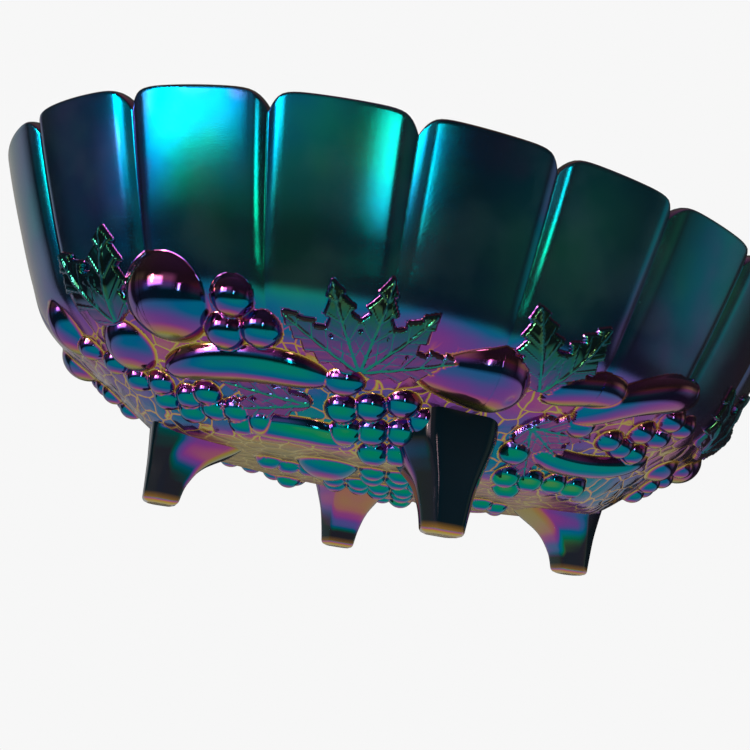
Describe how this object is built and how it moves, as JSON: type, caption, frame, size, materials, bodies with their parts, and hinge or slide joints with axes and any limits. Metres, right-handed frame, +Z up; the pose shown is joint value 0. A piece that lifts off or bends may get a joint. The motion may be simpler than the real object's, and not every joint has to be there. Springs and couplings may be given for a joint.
{
  "type": "footed glass bowl",
  "caption": "Oval pressed-glass fruit bowl with a scalloped panelled rim, a band of fruit and leaves in relief, and four faceted feet; holds fruit on a table.",
  "frame": {"origin": "middle of the bowl on the plane its four feet stand on", "axes": "+X along the bowl's length, +Y across it, +Z up"},
  "size_m": [0.3006, 0.218, 0.105],
  "materials": {
    "iridescent_glass": "iridescent, glossy"
  },
  "bodies": {
    "root": {"back_base_grapes": "iridescent_glass", "back_base_peach": "iridescent_glass", "back_bottom_banana": "iridescent_glass", "back_centre_grapes": "iridescent_glass", "back_cherries": "iridescent_glass", "back_corner_grapes": "iridescent_glass", "back_corner_leaf": "iridescent_glass", "back_corner_peach": "iridescent_glass", "back_corner_plum": "iridescent_glass", "back_end_leaf": "iridescent_glass", "back_leaf_spray": "iridescent_glass", "back_left_banana": "iridescent_glass", "back_left_grapes": "iridescent_glass", "back_low_leaf": "iridescent_glass", "back_lower_banana": "iridescent_glass", "back_oval_grape": "iridescent_glass", "back_peach": "iridescent_glass", "back_pear": "iridescent_glass", "back_pear_leaf": "iridescent_glass", "back_plum": "iridescent_glass", "back_right_banana": "iridescent_glass", "back_right_berries": "iridescent_glass", "back_right_grapes": "iridescent_glass", "back_small_plum": "iridescent_glass", "back_under_grapes": "iridescent_glass", "back_upper_banana": "iridescent_glass", "back_vine_leaf": "iridescent_glass", "bowl": "iridescent_glass", "foot_back": "iridescent_glass", "foot_front": "iridescent_glass", "foot_left": "iridescent_glass", "foot_right": "iridescent_glass", "front_base_grapes": "iridescent_glass", "front_base_peach": "iridescent_glass", "front_bottom_banana": "iridescent_glass", "front_centre_grapes": "iridescent_glass", "front_cherries": "iridescent_glass", "front_corner_grapes": "iridescent_glass", "front_corner_leaf": "iridescent_glass", "front_corner_peach": "iridescent_glass", "front_corner_plum": "iridescent_glass", "front_end_leaf": "iridescent_glass", "front_leaf_spray": "iridescent_glass", "front_left_banana": "iridescent_glass", "front_left_grapes": "iridescent_glass", "front_low_leaf": "iridescent_glass", "front_lower_banana": "iridescent_glass", "front_oval_grape": "iridescent_glass", "front_peach": "iridescent_glass", "front_pear": "iridescent_glass", "front_pear_leaf": "iridescent_glass", "front_plum": "iridescent_glass", "front_right_banana": "iridescent_glass", "front_right_berries": "iridescent_glass", "front_right_grapes": "iridescent_glass", "front_small_plum": "iridescent_glass", "front_under_grapes": "iridescent_glass", "front_upper_banana": "iridescent_glass", "front_vine_leaf": "iridescent_glass"}
  },
  "joints": []
}
